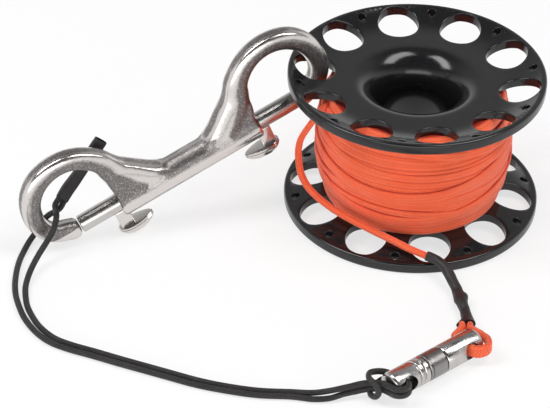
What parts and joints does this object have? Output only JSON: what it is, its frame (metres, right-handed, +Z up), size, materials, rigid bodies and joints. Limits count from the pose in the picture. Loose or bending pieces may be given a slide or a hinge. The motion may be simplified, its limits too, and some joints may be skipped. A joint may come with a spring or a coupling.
{
  "type": "finger spool",
  "caption": "Finger spool of line with holed flanges and a flared bore, a swivel on the line's free end, and a double-ended bolt snap clipped through a flange, with a cord lanyard.",
  "frame": {"origin": "on the floor, under the middle of the box round the spool and its snap, without the cords", "axes": "+Z up along the spool's axis; +X from the snap's lower end towards the spool, across the front; +Y to the back"},
  "size_m": [0.1737, 0.1555, 0.0656],
  "materials": {
    "black_plastic": "moulded, glossy",
    "orange_line": "braided, matt fluorescent orange",
    "black_cord": "braided, matt",
    "shrink_tube": "shrunk tube, satin",
    "cast_steel": "cast stainless, tumbled to a grainy shine",
    "polished_steel": "turned and polished stainless",
    "spring_steel": "drawn wire"
  },
  "bodies": {
    "spool": {"spool_upper": "black_plastic", "spool_lower": "black_plastic", "line_core": "orange_line", "line_winding": "orange_line", "line_tail": "orange_line", "line_sleeve": "shrink_tube", "line_loop": "orange_line", "swivel_body": "polished_steel", "swivel_cap": "polished_steel", "swivel_washer": "polished_steel"},
    "swivel_eye": {"swivel_eye": "polished_steel", "lanyard_hitch": "black_cord"},
    "snap": {"snap_body": "cast_steel", "lanyard_sleeve": "shrink_tube", "lanyard_strand_back": "black_cord", "lanyard_strand_front": "black_cord", "spring_upper": "spring_steel", "spring_lower": "spring_steel"},
    "bolt_upper": {"bolt_upper": "polished_steel", "thumb_knob_upper": "cast_steel"},
    "bolt_lower": {"bolt_lower": "polished_steel", "thumb_knob_lower": "cast_steel"}
  },
  "joints": [
    {"name": "snap_swing", "type": "hinge", "parent": "spool", "child": "snap", "pos_m": [0.00946, 0.00514, 0.04945], "axis": [0, 0, 1], "range_deg": [-30, 20], "deforming": ["lanyard_strand_back", "lanyard_strand_front"]},
    {"name": "bolt_upper_slide", "type": "slide", "parent": "snap", "child": "bolt_upper", "axis": [-0.8453, -0.3799, -0.3756], "range_m": [0, 0.008], "stiffness_N_per_m": 400, "springref_m": -0.004, "deforming": ["spring_upper"]},
    {"name": "bolt_lower_slide", "type": "slide", "parent": "snap", "child": "bolt_lower", "axis": [0.8453, 0.3799, 0.3756], "range_m": [0, 0.008], "stiffness_N_per_m": 400, "springref_m": -0.004, "deforming": ["spring_lower"]},
    {"name": "swivel_turn", "type": "hinge", "parent": "spool", "child": "swivel_eye", "pos_m": [0.03462, -0.1074, 0.0045], "axis": [0.7501, 0.6613, 0], "continuous": true, "deforming": ["lanyard_strand_back", "lanyard_strand_front"]}
  ]
}
